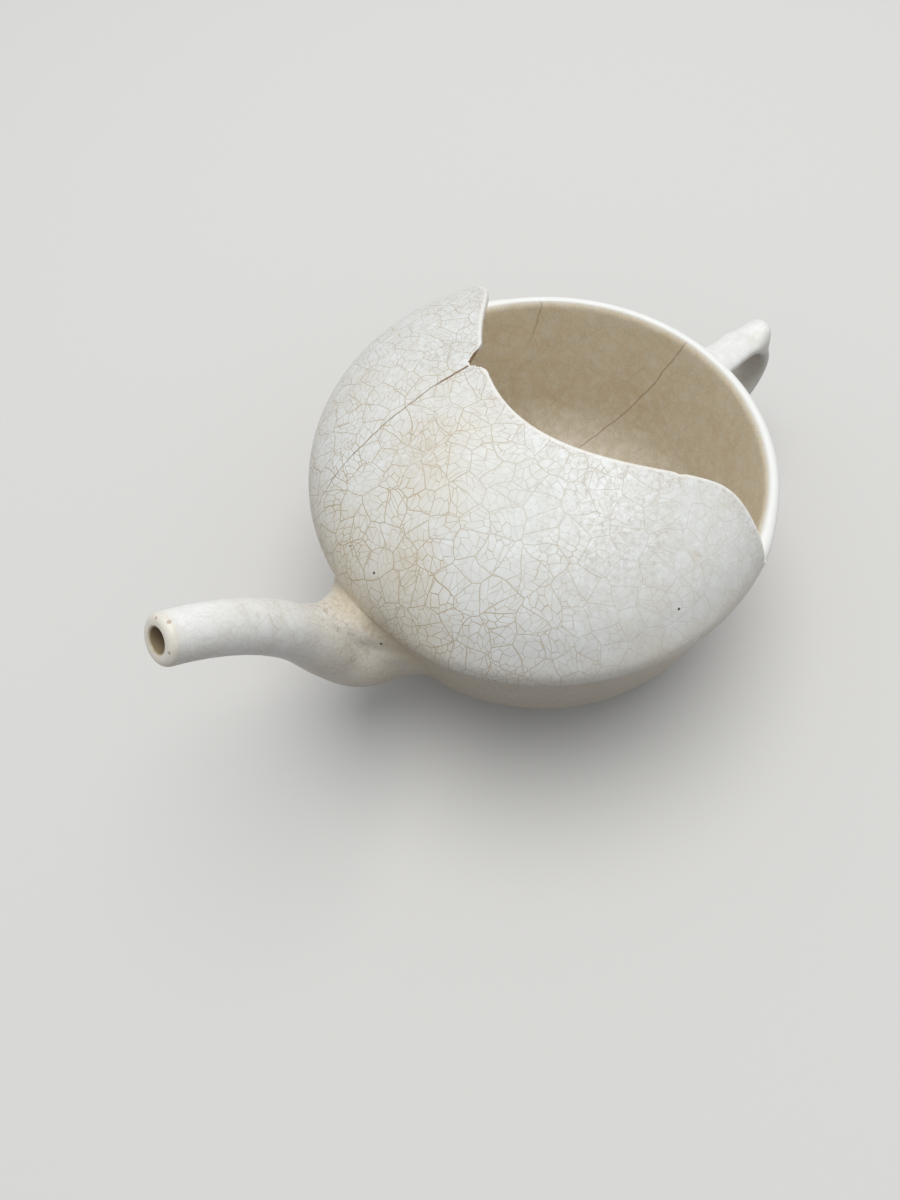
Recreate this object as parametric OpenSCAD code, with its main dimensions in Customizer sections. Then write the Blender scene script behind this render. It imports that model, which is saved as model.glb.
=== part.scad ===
// Invalid feeder: a half-covered earthenware feeding cup with a drinking spout
// and a small ring handle, luted together with slip from separately made pieces.
// The origin is the middle of the foot, on the table. +X runs towards the spout
// and +Z is up. Lengths are in millimetres and angles in degrees.

/* [Bowl] */
// Outer radius at the rim, the widest place
girth_r = 50; // [46:0.5:56]
// Bend radius of the side wall
wall_bend = 82; // [70:1:110]
// How far below the rim the side wall turns into the heel
heel_drop = 26; // [22:0.5:30]
// Bend radius of the heel
heel_bend = 22; // [17:0.5:25]
// Thickness of the bowl
bowl_wall = 4; // [3:0.1:5]
// Radius of the flat foot
foot_r = 29; // [22:0.5:33]
// How far the foot stands below the heel
foot_h = 1.5; // [1:0.1:4]

/* [Half cover] */
// Rise of the cover above its lower edge
cover_h = 22.1; // [19:0.1:26]
// Bend radius of the cover's shoulder
shoulder_bend = 14; // [10:0.5:17]
// Thickness of the cover
cover_wall = 3; // [2:0.1:4]
// Middle of the open edge, in front of the bowl's axis
opening_front = 7.3; // [0:0.1:20]
// Bend radius at the middle of the open edge
opening_bend = 26; // [20:0.5:34]
// Ends of the two horns, behind the bowl's axis
opening_back = 16; // [8:0.5:24]
// Softness of the horns' corners
horn_round = 2.4; // [1:0.1:4]
// How far to the side the chip in the open edge lies
chip_side = 16.2; // [10:0.1:24]
// Width of the chip
chip_w = 5.6; // [3:0.1:8]
// Depth of the chip
chip_depth = 3.2; // [1:0.1:5]
// How much shallower the chip is at its inner end, as a share of its depth
chip_skew = 0.3; // [0:0.05:0.6]

/* [Spout] */
// Height of the spout's root below the rim
spout_drop = 16.8; // [16:0.1:17.6]
// Outer radius of the root, in the bowl's wall
root_r = 13.1; // [12:0.1:13.4]
// Outer radius where the elbow ends
elbow_r = 7.7; // [7:0.1:8.4]
// Bend radius of the elbow
elbow_bend = 14; // [13.8:0.1:16]
// How far inside the girth the elbow begins
elbow_inset = 5.6; // [5:0.1:6.2]
// Rise of the neck above the level
neck_slope = 63.3; // [58:0.1:66]
// Length of the tapering neck
neck_l = 16.9; // [14:0.1:24]
// Outer radius where the neck ends
pipe_r = 5.5; // [5:0.1:6]
// Bend radius of the pipe
pipe_bend = 56.5; // [44:0.5:80]
// Rise of the tip above the level
tip_slope = 35.5; // [28:0.5:45]
// Length of the straight tip
tip_l = 3; // [2.5:0.5:6]
// Outer radius of the tip
tip_r = 4.7; // [4.4:0.1:5]
// Rounding of the tip's edge
tip_round = 1.5; // [0.5:0.1:1.6]
// Radius of the passage through the root
passage_r = 8.2; // [6:0.1:8.4]
// Radius of the passage where the elbow ends
elbow_passage_r = 4.4; // [3.5:0.1:4.6]
// Radius of the drinking bore
bore_r = 2.3; // [2:0.1:2.6]
// Length of the drinking bore
bore_l = 7; // [5:0.5:9]

/* [Handle] */
// Height of the handle's upper strap below the rim
handle_drop = 8; // [6:0.1:10]
// How far the handle stands out from the rim
handle_reach = 23.3; // [20:0.1:26]
// Width of the strap
strap_w = 8.4; // [6:0.1:11]
// Thickness of the strap
strap_t = 3.6; // [3:0.1:4.6]
// How much wider and thicker the strap's ends are
strap_flare = 1.2; // [1:0.05:1.5]
// Bend radius of the upper corner
upper_bend = 10; // [8:0.5:10.5]
// Bend radius of the lower corner
lower_bend = 11.5; // [9:0.5:12.5]
// Fall of the lower strap towards the bowl
lower_slope = 10; // [0:1:15]
// Height of the thumb rest on the upper corner
thumb_h = 3.4; // [1:0.1:4]
// Lean of the thumb rest away from upright
thumb_lean = 38; // [20:1:60]

/* [Slip joints] */
// Thickness of the slip between two pieces
slip_t = 1; // [0.6:0.1:1.6]
// How far the slip shows around the handle's ends
slip_margin = 1; // [0.4:0.1:2]
// Height of the slip collar round the spout
collar_h = 2.2; // [1.6:0.1:3]
// Width of the slip collar round the spout
collar_w = 2.2; // [1.6:0.1:3]

/* [Hidden] */
$fn = 240;

// A cut runs this far past the face that it opens
past = 2;
// Larger than any radius or height of the object
reach = 2 * (girth_r + handle_reach);

glaze = "#dcd9cf";
glaze_inside = "#cfc3a6";
slip = "#c9bda2";

// The heel's arc meets the side wall's arc where both lean by the same angle
heel_lean = asin(heel_drop / wall_bend);
heel_r = girth_r - wall_bend + (wall_bend - heel_bend) * cos(heel_lean);
rim_z = foot_h + heel_drop + heel_bend * (1 - sin(heel_lean));
heel_z = foot_h + heel_bend;

// The crown's arc meets the shoulder's arc where both lean by the same angle
cover_z = rim_z + slip_t;
crown_bend = (pow(girth_r - shoulder_bend, 2) + pow(cover_h, 2) - pow(shoulder_bend, 2))
    / (2 * (cover_h - shoulder_bend));
crown_lean = atan2(girth_r - shoulder_bend, crown_bend - cover_h);

// Steps along each stretch of a swept piece, and round its section
stretch_steps = 8;
side_steps = 24;

function mix(a, b, t) = a + (b - a) * t;
// Runs from 0 to 1 and is level at both ends
function ease(t) = t * t * (3 - 2 * t);
function along(slope) = [cos(slope), sin(slope)];
function across(slope) = [-sin(slope), cos(slope)];

// Points of the spout's middle line, as [x, z]
elbow_start = [girth_r - elbow_inset, rim_z - spout_drop];
elbow_centre = elbow_start + elbow_bend * across(0);
neck_start = elbow_centre - elbow_bend * across(neck_slope);
neck_end = neck_start + neck_l * along(neck_slope);
pipe_centre = neck_end - pipe_bend * across(neck_slope);
tip_start = pipe_centre + pipe_bend * across(tip_slope);
tip_end = tip_start + tip_l * along(tip_slope);
// Inside the spout the wall of the bore is this much proud of the drilled tip
drill_margin = 0.1;
narrow_r = bore_r - drill_margin;

// Stations of the spout, as [middle point, slope, outer radius, inner radius]
spout_stations = concat(
    [[elbow_start - bowl_wall * along(0), 0, root_r, passage_r]],
    [for (i = [0 : stretch_steps]) let (t = i / stretch_steps, slope = neck_slope * t)
        [elbow_centre - elbow_bend * across(slope), slope,
            mix(root_r, elbow_r, t), mix(passage_r, elbow_passage_r, t)]],
    [for (i = [1 : stretch_steps]) let (t = i / stretch_steps)
        [mix(neck_start, neck_end, t), neck_slope,
            mix(elbow_r, pipe_r, ease(t)), mix(elbow_passage_r, narrow_r, ease(t))]],
    [for (i = [1 : stretch_steps])
        let (t = i / stretch_steps, slope = mix(neck_slope, tip_slope, t))
        [pipe_centre + pipe_bend * across(slope), slope, mix(pipe_r, tip_r, t), narrow_r]]
);

// The slip collar stands square to the bowl's wall
collar_lean = asin(spout_drop / wall_bend);
collar_x = girth_r - wall_bend * (1 - cos(collar_lean));
// The spout has this slope and radius where it crosses the wall, and narrows at this rate
seat_slope = asin((collar_x - elbow_start[0]) / elbow_bend);
root_taper = (root_r - elbow_r) / (elbow_bend * neck_slope * PI / 180);
// The slip stands off the spout by this much
seat_gap = 0.2;
seat_r = mix(root_r, elbow_r, seat_slope / neck_slope) + seat_gap;

// Points of the handle's middle line: out from the bowl, down at its upper corner, back at its lower one
strap_z = rim_z - handle_drop;
outer_x = -(girth_r + handle_reach - strap_t / 2);
upper_centre = [outer_x + upper_bend, strap_z - upper_bend];
lower_centre = [outer_x + lower_bend, strap_z - upper_bend];
lower_end = lower_centre + lower_bend * along(270 - lower_slope);
// Both ends of the handle run this far in, past the bowl's wall
strap_run = girth_r / 2;
// Power of the strap's section: 1 is a plain oval and less is fuller
strap_fullness = 0.8;

// Stations of the handle, as [middle point, angle of its outer face, height of the thumb rest there]
function thumb(angle) = thumb_h * exp(-pow((angle - 90 - thumb_lean) / (thumb_lean / 2), 2));
handle_stations = concat(
    [[[upper_centre[0] + strap_run, strap_z], 90, 0]],
    [for (i = [0 : 2 * stretch_steps]) let (angle = mix(90, 180, i / (2 * stretch_steps)))
        [upper_centre + upper_bend * along(angle), angle, thumb(angle)]],
    [for (i = [1 : stretch_steps]) let (angle = mix(180, 270 - lower_slope, i / stretch_steps))
        [lower_centre + lower_bend * along(angle), angle, thumb(angle)]],
    [[lower_end + strap_run * along(-lower_slope), 270 - lower_slope, 0]]
);

module bowl() {
    color(glaze_inside)
    difference() {
        rotate_extrude() bowl_section();
        // The rim is left flat where the cover is luted on
        translate([-opening_back, -reach / 2, rim_z]) cube([reach, reach, reach]);
        root_passage();
    }
}

module half_cover() {
    color(glaze)
    difference() {
        translate([0, 0, cover_z]) rotate_extrude() cover_section();
        translate([0, 0, cover_z - past]) linear_extrude(cover_h + 2 * past) opening_outline();
    }
}

module spout() {
    color(glaze)
    difference() {
        swept(concat(spout_outside(), spout_inside()), true);
        bowl_envelope(slip_t);
        at_spout(tip_end, tip_slope)
            translate([0, 0, -bore_l]) cylinder(r = bore_r, h = bore_l + past);
    }
}

module handle() {
    color(glaze)
    difference() {
        swept([for (s = handle_stations) strap_ring(s)], false);
        bowl_envelope(slip_t);
    }
}

module cover_slip_joint() {
    color(slip)
    difference() {
        translate([0, 0, rim_z]) rotate_extrude()
            translate([girth_r - cover_wall, 0]) square([cover_wall, slip_t]);
        translate([0, 0, rim_z - past]) linear_extrude(slip_t + 2 * past) opening_outline();
    }
}

module spout_slip_joint() {
    color(slip)
    difference() {
        translate([collar_x, 0, rim_z - spout_drop])
            rotate([0, 90 + collar_lean, 0])
                rotate_extrude() collar_section();
        bowl_envelope(0);
        difference() {
            spout_seat();
            bowl_envelope(slip_t);
        }
        root_passage();
    }
}

module handle_upper_slip_joint() {
    color(slip)
    difference() {
        intersection() {
            upper_slip();
            bowl_envelope(slip_t);
        }
        bowl_envelope(0);
    }
}

module handle_lower_slip_joint() {
    color(slip)
    difference() {
        intersection() {
            lower_slip();
            bowl_envelope(slip_t);
        }
        bowl_envelope(0);
    }
}

// Half section of the bowl: two walls of equal thickness, a round lip and a flat foot
module bowl_section() {
    difference() {
        union() {
            bowl_outline(0, rim_z);
            translate([girth_r - bowl_wall / 2, rim_z]) circle(d = bowl_wall);
            square([foot_r, foot_h + bowl_wall / 2]);
        }
        bowl_outline(bowl_wall, rim_z);
    }
}

// The bowl filled to its axis, with its surface moved in by inset: side wall above, heel below
module bowl_outline(inset, top_z) {
    turn_z = rim_z - (wall_bend - inset) * sin(heel_lean);
    low_z = heel_z - heel_bend + inset;
    intersection() {
        translate([girth_r - wall_bend, rim_z]) circle(wall_bend - inset);
        translate([0, turn_z]) square([reach, top_z - turn_z]);
    }
    intersection() {
        translate([heel_r, heel_z]) circle(heel_bend - inset);
        translate([0, low_z]) square([reach, turn_z - low_z]);
    }
    translate([0, low_z]) square([heel_r, turn_z - low_z]);
}

// The bowl as a solid whose surface stands out by grow, for fitting pieces against it
module bowl_envelope(grow) {
    rotate_extrude() bowl_outline(-grow, rim_z + bowl_wall);
}

// Half section of the cover, from its lower edge up
module cover_section() {
    difference() {
        cover_outline(0);
        cover_outline(cover_wall);
    }
}

// The cover filled to its axis, with its surface moved in by inset: shoulder outside, crown inside
module cover_outline(inset) {
    turn_r = (crown_bend - inset) * sin(crown_lean);
    intersection() {
        translate([girth_r - shoulder_bend, 0]) circle(shoulder_bend - inset);
        translate([turn_r, 0]) square([reach, reach]);
    }
    intersection() {
        translate([0, cover_h - crown_bend]) circle(crown_bend - inset);
        square([turn_r, reach]);
    }
}

// Plan of what is open behind the cover's edge, with the chip
module opening_outline() {
    steps = 44;
    far = girth_r + past;
    edge = [for (i = [0 : steps]) let (y = far * (2 * i / steps - 1)) [opening_x(y), y]];
    polygon(concat([[-far, -far]], edge, [[-far, far]]));
    translate([opening_x(chip_side), -chip_side])
        polygon([[-chip_depth, -chip_w / 2], [chip_depth, 0],
            [chip_depth * (1 - chip_skew), chip_w / 2], [-chip_depth, chip_w / 2]]);
}

// The open edge in plan: a parabola that runs out softly into the straight ends of the horns
function opening_x(y) =
    let (inner = opening_front + opening_back - y * y / (2 * opening_bend))
    -opening_back + horn_round * ln(1 + exp(inner / horn_round));

// Turns a piece that is made along Z to start at point p and rise at the slope
module at_spout(p, slope) {
    translate([p[0], 0, p[1]]) rotate([0, 90 - slope, 0]) children();
}

// A ring of points round a station's middle point, square to the slope
function spout_ring(p, slope, r) = [for (i = [0 : side_steps - 1]) let (turn = 360 * i / side_steps,
    q = p + r * cos(turn) * across(slope)) [q[0], r * sin(turn), q[1]]];

// Rings of the spout's outer surface from the root to the rounded tip
function spout_outside() = concat(
    [for (s = spout_stations) spout_ring(s[0], s[1], s[2])],
    [for (i = [0 : stretch_steps / 2]) let (turn = 180 * i / stretch_steps)
        spout_ring(tip_end - tip_round * (1 - sin(turn)) * along(tip_slope), tip_slope,
            tip_r - tip_round * (1 - cos(turn)))]
);

// Rings of the spout's inner surface from the tip back to the root
function spout_inside() = concat(
    [spout_ring(tip_end, tip_slope, narrow_r)],
    [for (i = [len(spout_stations) - 1 : -1 : 0])
        let (s = spout_stations[i]) spout_ring(s[0], s[1], s[3])]
);

// A skin over rings of equally many points, with flat ends or joined end to end
module swept(rings, joined) {
    n = len(rings[0]);
    m = len(rings);
    function at(i, j) = (i % m) * n + j % n;
    skin = [for (i = [0 : m - (joined ? 1 : 2)], j = [0 : n - 1])
        each [[at(i, j), at(i + 1, j), at(i, j + 1)],
            [at(i, j + 1), at(i + 1, j), at(i + 1, j + 1)]]];
    ends = joined ? [] :
        [[for (j = [0 : n - 1]) at(0, j)], [for (j = [n - 1 : -1 : 0]) at(m - 1, j)]];
    polyhedron(points = [for (r = rings) each r], faces = concat(skin, ends), convexity = 6);
}

// The seat that the slip leaves for the spout: a cone where the root crosses the wall, and a round neck
module spout_seat() {
    at_spout(elbow_centre - elbow_bend * across(seat_slope), seat_slope)
        translate([0, 0, -root_r])
            cylinder(r1 = seat_r + root_taper * root_r, r2 = seat_r - root_taper * root_r, h = 2 * root_r);
    at_spout(neck_start, neck_slope)
        translate([0, 0, -bowl_wall]) cylinder(r = elbow_r + seat_gap, h = bowl_wall + elbow_r);
}

// Half section of the slip collar, hollowed where a finger wiped it round
module collar_section() {
    difference() {
        translate([0, -bowl_wall]) square([seat_r + collar_w, bowl_wall + collar_h]);
        translate([seat_r + collar_w, collar_h]) circle(collar_h);
    }
}

// The hole through the bowl's wall into the spout
module root_passage() {
    at_spout(elbow_start - [2 * bowl_wall, 0], 0) cylinder(r = passage_r, h = 4 * bowl_wall);
}

// A ring round the strap: an oval with flattened faces, thicker outside where the thumb rests
function strap_ring(s) = [for (i = [0 : side_steps - 1])
    let (turn = 360 * i / side_steps, flare = strap_flare_at(s[0]),
        out = flare * strap_t / 2 * rounded(cos(turn)) + s[2] * max(0, cos(turn)),
        q = s[0] + out * along(s[1]))
    [q[0], -flare * strap_w / 2 * rounded(sin(turn)), q[1]]];
// Fills out the strap's oval section towards a rectangle
function rounded(c) = sign(c) * pow(abs(c), strap_fullness);
// The strap widens as it comes near the bowl
function strap_flare_at(p) =
    let (out = (-p[0] - girth_r + strap_t) / (handle_reach - strap_t))
    mix(strap_flare, 1, ease(min(1, max(0, out))));

// Section of the slip round an end of the strap, with round edges
module slip_section() {
    thick = strap_flare * strap_t + 2 * slip_margin;
    flat = strap_flare * strap_w + 2 * slip_margin - thick;
    for (side = [-1, 1]) translate([0, side * flat / 2]) circle(d = thick);
    square([thick, flat], center = true);
}

// Slip along the level end of the handle
module upper_slip() {
    translate([upper_centre[0], 0, strap_z]) rotate([0, 90, 0])
        linear_extrude(strap_run) slip_section();
}

// Slip along the falling end of the handle
module lower_slip() {
    translate([lower_end[0], 0, lower_end[1]]) rotate([0, 90 + lower_slope, 0])
        linear_extrude(strap_run) slip_section();
}

bowl();
half_cover();
spout();
handle();
cover_slip_joint();
spout_slip_joint();
handle_upper_slip_joint();
handle_lower_slip_joint();
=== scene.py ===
# %% [markdown]
# # An invalid feeder in crazed earthenware
# This is a feeding cup for the sick: a round bowl, a cover over half of it, a drinking spout and a small
# strap handle, luted together with slip and glazed in one. The imported model is the frame: its origin is
# the middle of the foot, +X runs to the spout and +Z is up. Each CAD piece gives way to a smooth surface
# in the same place.

# %% Load the imported frame
import bmesh
import bpy
import numpy as np
from mathutils import Matrix


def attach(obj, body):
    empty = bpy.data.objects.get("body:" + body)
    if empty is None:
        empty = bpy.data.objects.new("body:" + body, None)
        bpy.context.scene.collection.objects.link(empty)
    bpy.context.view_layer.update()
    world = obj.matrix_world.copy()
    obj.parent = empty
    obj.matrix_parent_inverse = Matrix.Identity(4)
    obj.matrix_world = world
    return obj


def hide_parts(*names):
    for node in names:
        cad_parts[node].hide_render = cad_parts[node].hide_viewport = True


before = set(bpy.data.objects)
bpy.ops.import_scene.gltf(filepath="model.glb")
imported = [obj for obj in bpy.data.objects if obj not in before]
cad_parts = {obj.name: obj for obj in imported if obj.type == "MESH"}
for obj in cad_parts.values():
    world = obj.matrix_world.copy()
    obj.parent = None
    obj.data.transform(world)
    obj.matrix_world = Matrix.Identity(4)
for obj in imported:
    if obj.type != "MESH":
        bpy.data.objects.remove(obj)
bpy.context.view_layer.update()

# %% [markdown]
# ## From a grid of points to a piece
# A thrown or moulded pot has no flat faces, so it could be sculpted, or modelled low and subdivided.
# Here each piece is a formula of two parameters instead: one numpy expression gives every point, and
# the shape stays exact however fine the grid is. One helper turns any such grid into a closed mesh.
# A pole or a horn's tip is many grid points in one place, so points that coincide become one.

# %% Grid to mesh
MM = 0.001
same_place = 0.002 * MM


def skin(name, grid, loop_rows=False, close_ends=False, marks=None):
    """A mesh over a grid of points (rows, columns, 3) in mm: every four neighbours are a face, and the last
    column joins the first. loop_rows joins the last row to the first too, close_ends puts a face over the
    first and the last row instead, and marks holds named values or vectors per point. Faces are turned so
    that the volume inside comes out positive."""
    points = grid.reshape(-1, 3)
    number = np.arange(len(points)).reshape(grid.shape[:2])
    net = np.vstack([number, number[:1]]) if loop_rows else number
    net = np.hstack([net, net[:, :1]])
    faces = np.stack([net[:-1, :-1], net[1:, :-1], net[1:, 1:], net[:-1, 1:]], -1).reshape(-1, 4)
    a, b, c, d = np.moveaxis((points - points.mean(0))[faces], 1, 0)
    volume = (a * (np.cross(b, c) + np.cross(c, d))).sum()
    step = 1 if volume > 0 else -1
    faces = faces[:, ::step].tolist()
    if close_ends:
        faces += [number[0][::step].tolist(), number[-1][::-step].tolist()]
    mesh = bpy.data.meshes.new(name)
    mesh.from_pydata((points * MM).tolist(), [], faces)
    for mark, values in (marks or {}).items():
        vector = np.ndim(values) == 3
        values = np.broadcast_to(values, grid.shape if vector else grid.shape[:2])
        layer = mesh.attributes.new(mark, "FLOAT_VECTOR" if vector else "FLOAT", "POINT")
        layer.data.foreach_set("vector" if vector else "value", values.ravel())
    shell = bmesh.new()
    shell.from_mesh(mesh)
    bmesh.ops.remove_doubles(shell, verts=shell.verts, dist=same_place)
    shell.to_mesh(mesh)
    shell.free()
    mesh.shade_smooth()
    return mesh


print("points closer than", same_place / MM, "mm become one")

# %% [markdown]
# ## In the CAD piece's place
# A finished mesh becomes an object at the origin, with its place in its points. It rides on the cup's one
# body, and the CAD node of the same name is hidden for it.

# %% Stand-in for a CAD node
def stand_in(name, mesh):
    """Puts a mesh in the scene in place of the CAD node of the same name, on the cup's one body."""
    piece = bpy.data.objects.new(name + "_glazed", mesh)
    bpy.context.scene.collection.objects.link(piece)
    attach(piece, "root")
    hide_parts(name)
    print(piece.name, len(mesh.polygons), "faces")
    return piece


# %% [markdown]
# ## The sizes that the pieces share
# The bowl's wall leaves the rim with a lean, which makes the girth an edge, and runs down as one long arc
# into a tighter heel. Both arcs share their tangent where they meet. The lean at that place follows from
# the lean at the rim, from the wall's arc and from how far the heel lies below the rim.

# %% Shared sizes in mm
girth_r = 50.0
rim_lean, wall_bend, wall_t = 9.5, 474.0, 4.0
heel_drop, heel_bend = 26.0, 19.25
foot_r, foot_h = 29.0, 1.5
slip_t, horn_back = 1.0, 16.0
rim_sine = np.sin(np.radians(rim_lean))
heel_lean = np.degrees(np.arcsin(rim_sine + heel_drop / wall_bend))
rim_z = foot_h + heel_drop + heel_bend * (1 - np.sin(np.radians(heel_lean)))
wall_x = girth_r - wall_bend * np.cos(np.radians(rim_lean))
heel_x = wall_x + (wall_bend - heel_bend) * np.cos(np.radians(heel_lean))
wall_centre = np.array([wall_x, rim_z + wall_bend * rim_sine])
heel_centre = np.array([heel_x, foot_h + heel_bend])
print("rim height", round(rim_z, 2), "heel centre", heel_centre.round(2))

# %% [markdown]
# ## The bowl
# The bowl was thrown and its foot turned, so it is a profile carried round an axis: out along the foot,
# up the heel and wall, over the lip, and down again inside. It could be spun with a Screw modifier, but
# its rim changes round the girth, which a grid of profile points and angles allows.

# %% Bowl's profile
def arc(centre, radius, start, end, count):
    """Points of a circular arc: centre + radius * (cos turn, sin turn), with the turn in degrees."""
    turn = np.radians(np.linspace(start, end, count))
    return np.asarray(centre) + radius * np.stack([np.cos(turn), np.sin(turn)], -1)


foot_rows, foot_round, floor_z = 20, 1.0, foot_h + wall_t
foot = np.linspace([0, 0], [foot_r - 1.2, 0], foot_rows)
foot_edge = arc([foot_r - foot_round, foot_round], foot_round, -90, 0, 9)
foot_crease = [[foot_r + 0.1, foot_h], [foot_r + 0.5, foot_h + 0.42]]
outside = np.vstack([foot, foot_edge, foot_crease, arc(heel_centre, heel_bend, -76, -heel_lean, 50),
                     arc(wall_centre, wall_bend, -heel_lean, -rim_lean, 44)[1:]])
lip = arc([girth_r - wall_t / 2, rim_z], wall_t / 2, 0, 180, 21)[1:-1]
inner_lean = np.degrees(np.arcsin(wall_bend * rim_sine / (wall_bend - wall_t)))
inside = np.vstack([arc(wall_centre, wall_bend - wall_t, -inner_lean, -heel_lean, 44),
                    arc(heel_centre, heel_bend - wall_t, -heel_lean, -90, 44)[1:],
                    np.linspace([heel_x, floor_z], [0, floor_z], 26)[1:]])
profile = np.vstack([outside, lip, inside])
lip_row = len(outside)
print("profile of", len(profile), "points, with the lip from point", lip_row)

# %% [markdown]
# ## The girth's shoulder
# The cover was luted on while the clay was soft. On the side that was pressed down, cover and wall stand
# out a little over the girth, which gives it a rounded edge there. That could be sculpted. A bell curve of
# the height does it evenly for the bowl, the cover and the slip between them, so they still meet.

# %% Shoulder
shoulder_out, shoulder_up, bell_above, bell_below = 1.1, 2.7, 3.3, 5.0
spout_fade, horn_fade = (8, 30), (-110, -75)


def smooth(low, high, x):
    """0 below low, 1 above high, and 3 t^2 - 2 t^3 between them."""
    t = np.clip((x - low) / (high - low), 0, 1)
    return t * t * (3 - 2 * t)


def pressed(points):
    """Points of the outer skin moved out from the axis by a bell of their height: out * exp(-(h / w)^2), with
    h from shoulder_up over the rim. It fades out round the girth towards the spout and the horn."""
    height = points[..., 2] - rim_z - shoulder_up
    bearing = np.degrees(np.arctan2(points[..., 1], points[..., 0]))
    bell = np.exp(-(height / np.where(height > 0, bell_above, bell_below)) ** 2)
    out = shoulder_out * bell * smooth(*spout_fade, bearing) * smooth(*horn_fade, -bearing)
    r = np.linalg.norm(points[..., :2], axis=-1)
    return points * np.stack([1 + out / r, 1 + out / r, 1 + 0 * r], -1)


print("shoulder of", shoulder_out, "mm at height", round(rim_z + shoulder_up, 1))

# %% [markdown]
# Behind the cover the lip is a full bead that has been wiped round, a little slimmer than the wall. Under
# the cover it is flat, so the bead's height and width also depend on the angle. The columns stand closer
# at the two horns, where the bead begins.

# %% Bowl's grid
rim_slim, bead_from, bead_full = 0.7, horn_back + 0.4, horn_back + 2.8
horn_turn = np.degrees(np.arccos(-horn_back / girth_r))
at_horn = np.linspace(horn_turn - 3, horn_turn + 5, 33)
around = np.radians(np.unique(np.concatenate([np.linspace(-180, 180, 253)[:-1], at_horn, -at_horn])))


def bowl_grid(profile, around):
    """Point at radius r and angle: (r cos, r sin, z). What stands above the rim is scaled to nothing under
    the cover, and the outside of the rim loses rim_slim behind it."""
    r, z = profile[:, :1], profile[:, 1:]
    behind = -girth_r * np.cos(around)
    slim = rim_slim * smooth(rim_z - 9, rim_z, z) * smooth(girth_r - wall_t, girth_r - 1, r)
    r = r - slim * smooth(horn_back, horn_back + 14, behind)
    z = np.where(z > rim_z, rim_z + (z - rim_z) * smooth(bead_from, bead_full, behind), z)
    return np.stack([r * np.cos(around), r * np.sin(around), z + 0 * r], -1)


grid = bowl_grid(profile, around)
grid[foot_rows:lip_row] = pressed(grid[foot_rows:lip_row])
print("bowl's grid", grid.shape[:2])

# %% [markdown]
# The crazing is to lie flat on the surface, so the mark named net unrolls the bowl onto a plane: the way
# along the profile becomes the distance from the middle. Outside it starts at 60 mm, past the end of the
# cover's own net. A second mark says where the glaze has yellowed, which is from the top of the lip inwards.

# %% Bowl's marks and mesh
outer_net_r, foot_ring_z = 60.0, 1.2
row = np.arange(len(profile))
yellowed = smooth(lip_row + 10, lip_row + 15, row)
along = np.concatenate([[0], np.cumsum(np.linalg.norm(np.diff(profile, axis=0), axis=1))])
spread = np.where(row < lip_row + 10, outer_net_r + along[lip_row - 1] - along, along[-1] - along)
spread = np.where(profile[:, 1] < foot_ring_z, profile[:, 0], spread)[:, None]
net = np.stack([spread * np.cos(around), spread * np.sin(around), 0 * grid[..., 0]], -1) * MM
bowl_mesh = skin("bowl", grid, marks={"yellowed": yellowed[:, None], "net": net})
bowl = stand_in("bowl", bowl_mesh)

# %% [markdown]
# ## The hole behind the spout
# The potter pierced the wall before luting the spout over the hole. A hole changes what a grid can be, so
# it is cut with a Boolean: the cutter is a revolved trumpet, which leaves the hole's inner edge rounded.

# %% Pierce the wall
passage_r, spout_z = 8.2, rim_z - 16.8
flare_r, edge_r = passage_r + 2.8, 1.3
trumpet = np.vstack([[[35.0, 0.0], [35.0, flare_r], [41.4, flare_r]],
                     arc([44.0, passage_r + edge_r], edge_r, 180, 270, 12),
                     [[52.4, passage_r], [52.4, 0.0]]])
cutter_turn = np.radians(np.linspace(0, 360, 73)[:-1])
cutter_grid = np.stack([trumpet[:, :1] + 0 * cutter_turn, trumpet[:, 1:] * np.cos(cutter_turn),
                        spout_z + trumpet[:, 1:] * np.sin(cutter_turn)], -1)
cutter = bpy.data.objects.new("cutter", skin("cutter", cutter_grid, marks={"yellowed": 1.0}))
bpy.context.scene.collection.objects.link(cutter)
pierce = bowl.modifiers.new("pierce", "BOOLEAN")
pierce.object, pierce.operation, pierce.solver = cutter, "DIFFERENCE", "EXACT"
pierced = bpy.data.meshes.new_from_object(bowl.evaluated_get(bpy.context.evaluated_depsgraph_get()))
bowl.modifiers.clear()
bowl.data = pierced
pierced.shade_smooth()
pierced.set_sharp_from_angle(angle=np.radians(40))
bpy.data.objects.remove(cutter)
print("pierced bowl:", len(pierced.polygons), "faces")

# %% [markdown]
# ## The half cover
# The cover is a moulded dome, cut to a curved open edge that leaves two horns on the rim. The dome is a
# superellipse, a little wider than the rim, so that it comes down on the girth with an edge. Its sheet
# runs from the rim to the open edge, and the section of the wall is carried along that edge: outer face,
# rounded edge, inner face.

# %% Dome and open edge
dome_z, dome_h, dome_r, dome_power = rim_z - 1.94, 24.85, 50.4, 2.24
cover_t, cover_base, girth_round = 3.0, rim_z + slip_t, 0.35
edge_x, edge_bow, edge_soft = 6.85, 52.0, 2.4
horn_flare, flare_h = 1.3, 1.2


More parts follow.
